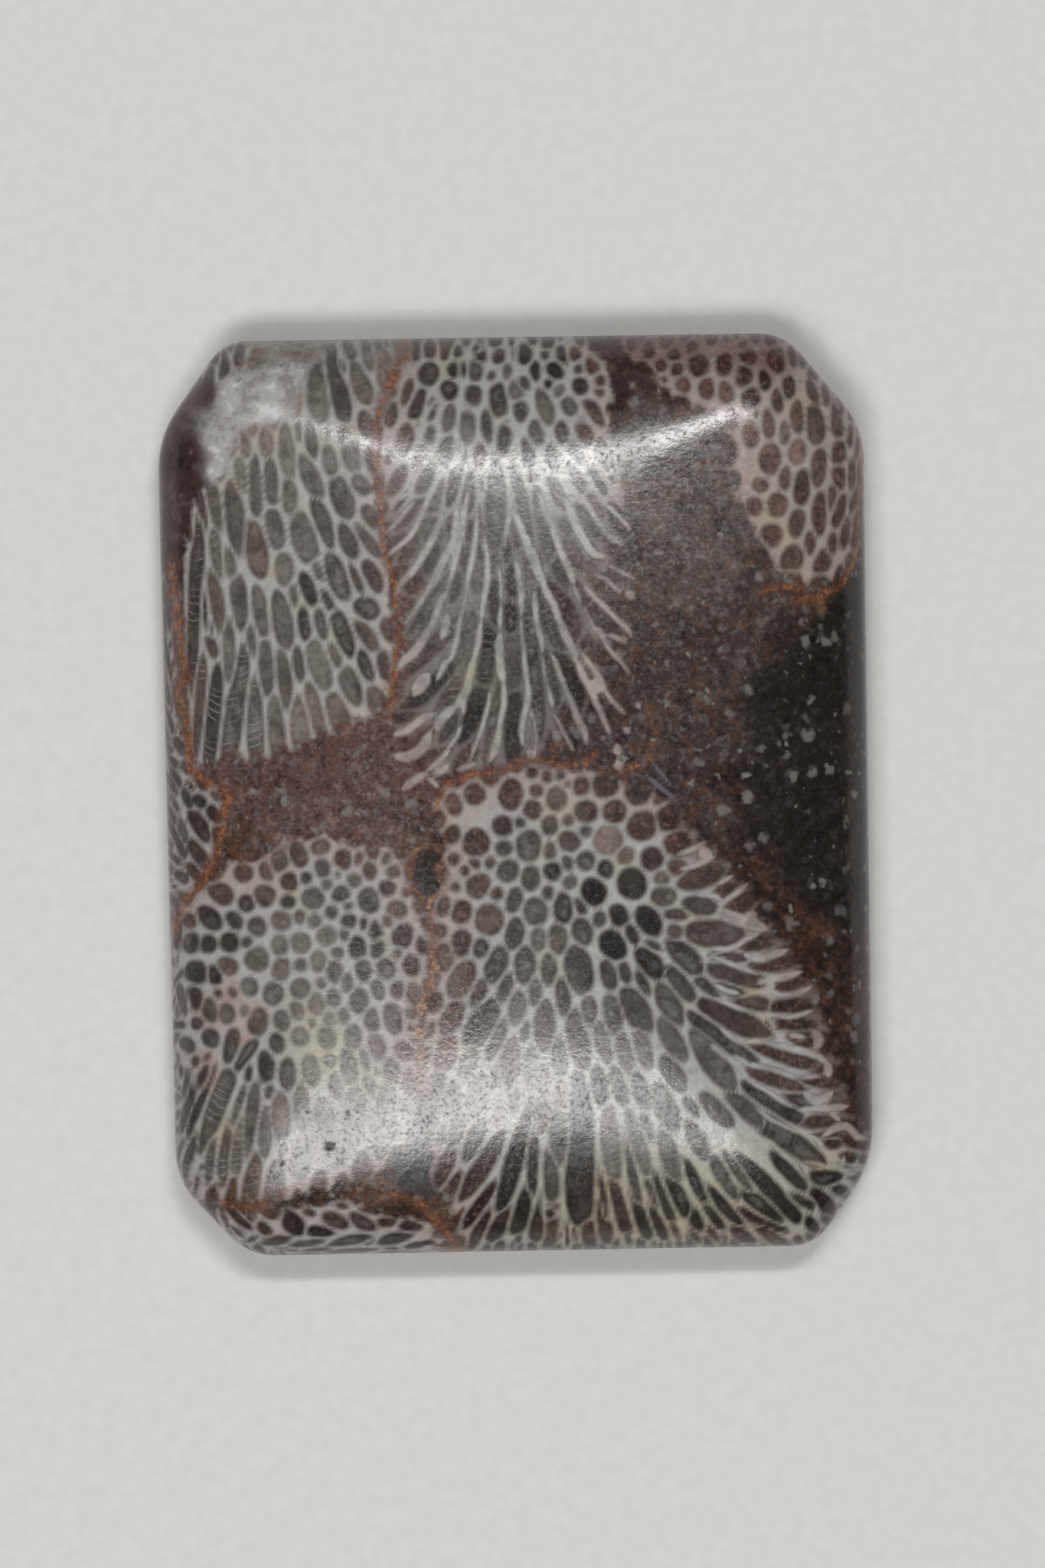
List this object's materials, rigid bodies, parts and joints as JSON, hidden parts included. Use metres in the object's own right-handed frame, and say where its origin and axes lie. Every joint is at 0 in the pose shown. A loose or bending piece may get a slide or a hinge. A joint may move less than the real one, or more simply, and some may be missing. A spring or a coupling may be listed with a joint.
{
  "type": "polished fossil palm wood cabochon",
  "caption": "Polished fossil stone cabochon: a rectangle with cut corners, a low domed top patterned with pale-walled dark cells, and a flat back to rest on or set in a mount.",
  "frame": {"origin": "middle of the flat back, on the surface that the stone rests on", "axes": "+Z out of the domed top, +Y along the stone towards the end with the crisper crest, +X across it"},
  "size_m": [0.0308, 0.04, 0.007],
  "materials": {
    "fossil_stone": "polished"
  },
  "bodies": {
    "root": {"fossil_stone": "fossil_stone"}
  },
  "joints": []
}
